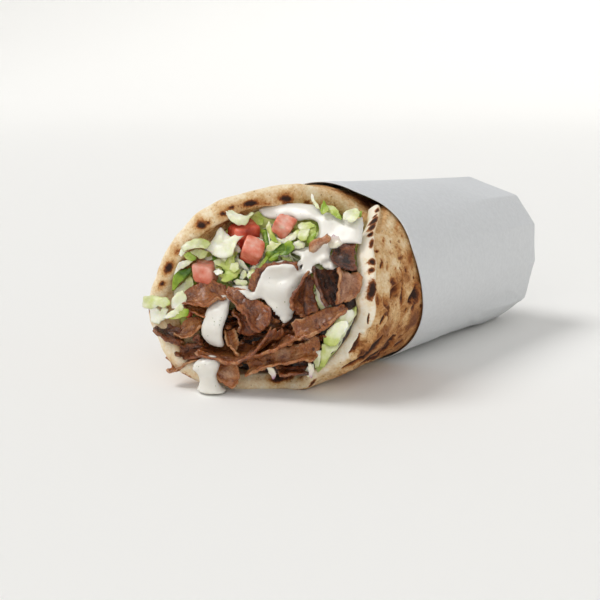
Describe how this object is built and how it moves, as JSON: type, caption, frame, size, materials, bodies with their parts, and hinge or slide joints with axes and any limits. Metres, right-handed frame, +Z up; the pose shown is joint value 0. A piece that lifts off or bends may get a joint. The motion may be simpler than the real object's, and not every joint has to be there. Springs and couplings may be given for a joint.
{
  "type": "gyro wrap",
  "caption": "Thick flatbread rolled round shaved meat, shredded lettuce, diced tomato and white sauce, held in a plain paper sleeve folded shut at the far end.",
  "frame": {"origin": "on the table, under the middle of the whole wrap's outline", "axes": "+Z up, +Y along the roll towards its closed, paper-covered end, so the open mouth faces -Y; +X to the side where the bread's free edge laps over"},
  "size_m": [0.098, 0.2158, 0.0872],
  "materials": {
    "bread": "soft griddled flatbread, matt and floury with dark toasted spots",
    "paper": "plain white wrapping paper, satin, softly creased",
    "meat": "shaved roast meat, grained, browned edges, moist",
    "lettuce": "crisp shredded lettuce, moist",
    "tomato": "ripe diced tomato, wet cut faces",
    "sauce": "thick white yoghurt and garlic sauce, glossy"
  },
  "bodies": {
    "root": {"flatbread": "bread", "lettuce_bed": "lettuce", "lettuce_left": "lettuce", "lettuce_right": "lettuce", "meat_bed": "meat", "meat_centre_stand": "meat", "meat_front_hang": "meat", "meat_hollow_chip": "meat", "meat_left_crumble": "meat", "meat_left_curl": "meat", "meat_left_loop": "meat", "meat_left_low": "meat", "meat_left_tip": "meat", "meat_long_edge": "meat", "meat_long_ribbon": "meat", "meat_low_chip": "meat", "meat_low_cradle": "meat", "meat_low_pocket": "meat", "meat_low_shelf": "meat", "meat_middle_drape": "meat", "meat_middle_flap": "meat", "meat_peeking_strip": "meat", "meat_right_edge": "meat", "meat_right_inner": "meat", "meat_right_top": "meat", "meat_sauced_arch": "meat", "meat_upper_leaf": "meat", "meat_upper_under": "meat", "paper_sleeve": "paper", "sauce_drip": "sauce", "sauce_foot": "sauce", "sauce_pour": "sauce", "tomato_dice_1": "tomato", "tomato_dice_2": "tomato", "tomato_dice_3": "tomato", "tomato_dice_4": "tomato", "tomato_dice_5": "tomato"}
  },
  "joints": []
}
